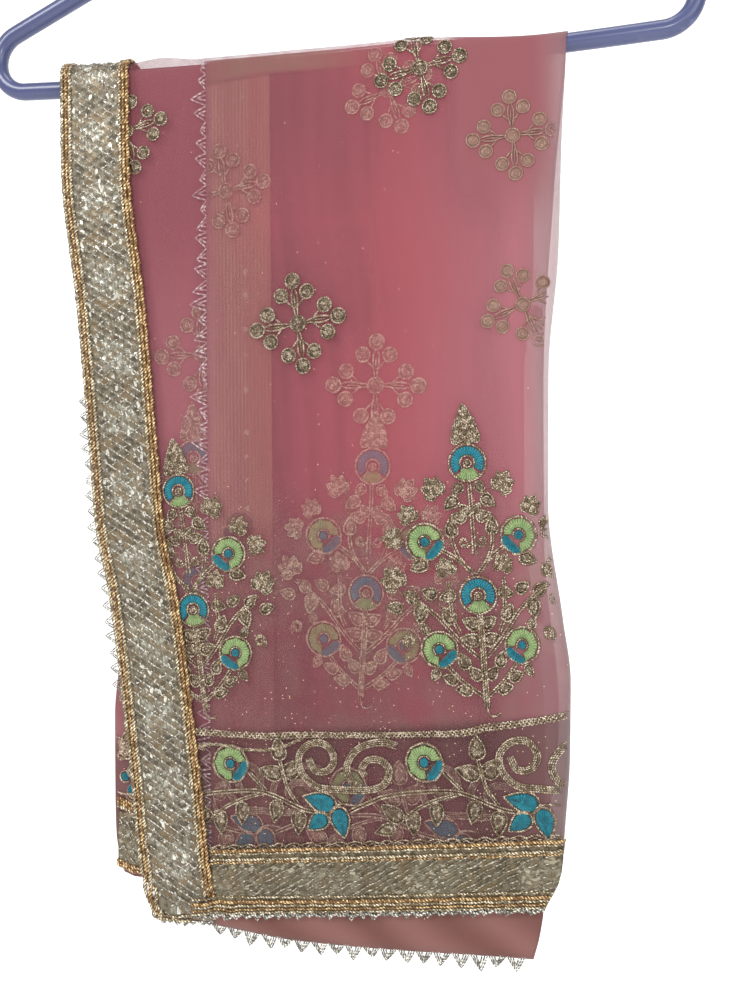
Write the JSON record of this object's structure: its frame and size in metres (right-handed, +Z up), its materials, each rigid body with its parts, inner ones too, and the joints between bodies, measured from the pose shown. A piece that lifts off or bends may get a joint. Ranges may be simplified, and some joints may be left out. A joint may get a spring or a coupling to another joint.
{
  "type": "dupatta stole on a tube hanger",
  "caption": "Sheer embroidered dupatta with metallic lace edging, folded lengthwise and hung over the bar of a plastic tube hanger.",
  "frame": {"origin": "inner top of the hanger's hook, where a rail carries it", "axes": "+Z up; +X to the right along the hanger's bar, seen from the front; the front drop hangs on the -Y side of the bar and the back drop on the +Y side"},
  "size_m": [0.4208, 0.0288, 0.7097],
  "materials": {
    "net": "sheer rose-pink net, matte",
    "net_inside": "sheer rose-pink net in several plies, matte",
    "gota_lace": "antique gold and silver metallic ribbon lattice, glinting",
    "gold_cord": "twisted copper-gold metallic cord",
    "picot": "silver-gold metallic thread loops",
    "hanger_plastic": "moulded periwinkle plastic, satin gloss"
  },
  "bodies": {
    "root": {"back_half_fold": "net", "back_panel": "net", "back_side_cord_inner": "gold_cord", "back_side_cord_outer": "gold_cord", "back_side_lace": "gota_lace", "back_side_picot": "picot", "folded_layers_back": "net_inside", "front_end_cord_lower": "gold_cord", "front_end_cord_upper": "gold_cord", "front_end_lace": "gota_lace", "front_end_picot": "picot", "front_panel": "net", "front_side_cord_inner": "gold_cord", "front_side_cord_outer": "gold_cord", "front_side_lace": "gota_lace", "front_side_picot": "picot", "hanger_frame": "hanger_plastic", "hanger_hook": "hanger_plastic", "inner_end_lace": "gota_lace", "inner_end_picot": "picot", "inner_panel": "net_inside", "inner_side_lace": "gota_lace", "inner_side_picot": "picot", "second_end_lace": "gota_lace", "second_fold": "net_inside", "third_fold": "net_inside"}
  },
  "joints": []
}
